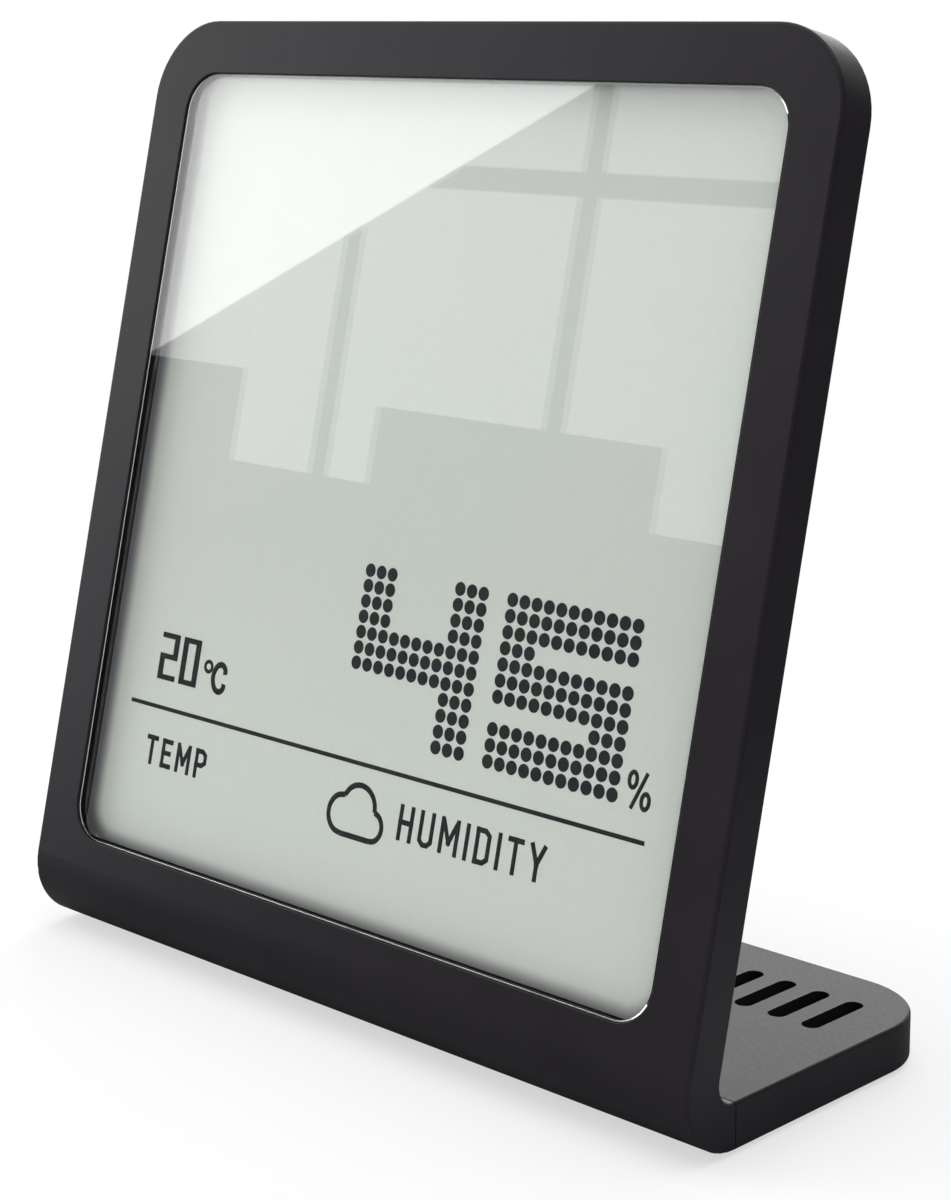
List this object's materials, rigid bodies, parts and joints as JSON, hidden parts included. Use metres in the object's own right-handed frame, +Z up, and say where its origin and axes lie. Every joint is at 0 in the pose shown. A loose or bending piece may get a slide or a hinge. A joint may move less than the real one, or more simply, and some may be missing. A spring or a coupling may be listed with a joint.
{
  "type": "hygrometer",
  "caption": "Desk hygrometer: a leaning black display panel that bends into a flat stand foot, with a rear housing, battery door and unit button.",
  "frame": {"origin": "on the table under the middle of the object's box", "axes": "+X to the right of someone facing the display, +Y towards the back, +Z up"},
  "size_m": [0.09, 0.0384, 0.0963],
  "materials": {
    "satin_black_abs": "fine satin moulded ABS",
    "rear_black_abs": "fine textured moulded ABS",
    "button_black": "satin moulded ABS",
    "clear_lens": "clear polished acrylic",
    "black_tape": "black adhesive tape",
    "display_film": "clear polariser film",
    "display_glass": "clear display glass",
    "reflector_film": "pale grey-green reflector film",
    "chassis_plastic": "white moulded plastic",
    "contact_rubber": "layered conductive rubber",
    "board_green": "green solder mask",
    "chip_black": "moulded epoxy",
    "bright_can": "bright plated steel can",
    "sensor_white": "white sensor body",
    "chip_ceramic": "tan ceramic with tinned ends",
    "screw_steel": "black zinc plated steel",
    "plunger_plastic": "moulded plastic",
    "cell_steel": "nickel plated steel",
    "contact_nickel": "nickel plated spring steel",
    "pad_rubber": "soft black rubber"
  },
  "bodies": {
    "case": {"front_frame": "satin_black_abs", "display_lens": "clear_lens", "lens_tape": "black_tape", "front_polariser": "display_film", "lcd_front_glass": "display_glass", "lcd_rear_glass": "display_glass", "rear_reflector": "reflector_film", "display_chassis": "chassis_plastic", "contact_strip": "contact_rubber", "circuit_board": "board_green", "controller_chip": "chip_black", "quartz_crystal": "bright_can", "humidity_sensor": "sensor_white", "chip_components": "chip_ceramic", "board_screws": "screw_steel", "tact_switch": "chip_black", "coin_cell": "cell_steel", "battery_contact_positive": "contact_nickel", "battery_contact_negative": "contact_nickel", "rear_housing": "rear_black_abs", "housing_screws": "screw_steel", "stand_foot": "satin_black_abs", "foot_screws": "screw_steel", "rubber_pads": "pad_rubber"},
    "door": {"battery_door": "rear_black_abs"},
    "button": {"unit_button": "button_black", "switch_plunger": "plunger_plastic"}
  },
  "joints": [
    {"name": "door_turn", "type": "hinge", "parent": "case", "child": "door", "pos_m": [0, -0.00009, 0.0368], "axis": [0, 0.9736, -0.2284], "range_deg": [0, 50]},
    {"name": "button_press", "type": "slide", "parent": "case", "child": "button", "axis": [0, -0.9736, 0.2284], "range_m": [0, 0.0006], "stiffness_N_per_m": 1500, "springref_m": -0.0003}
  ]
}
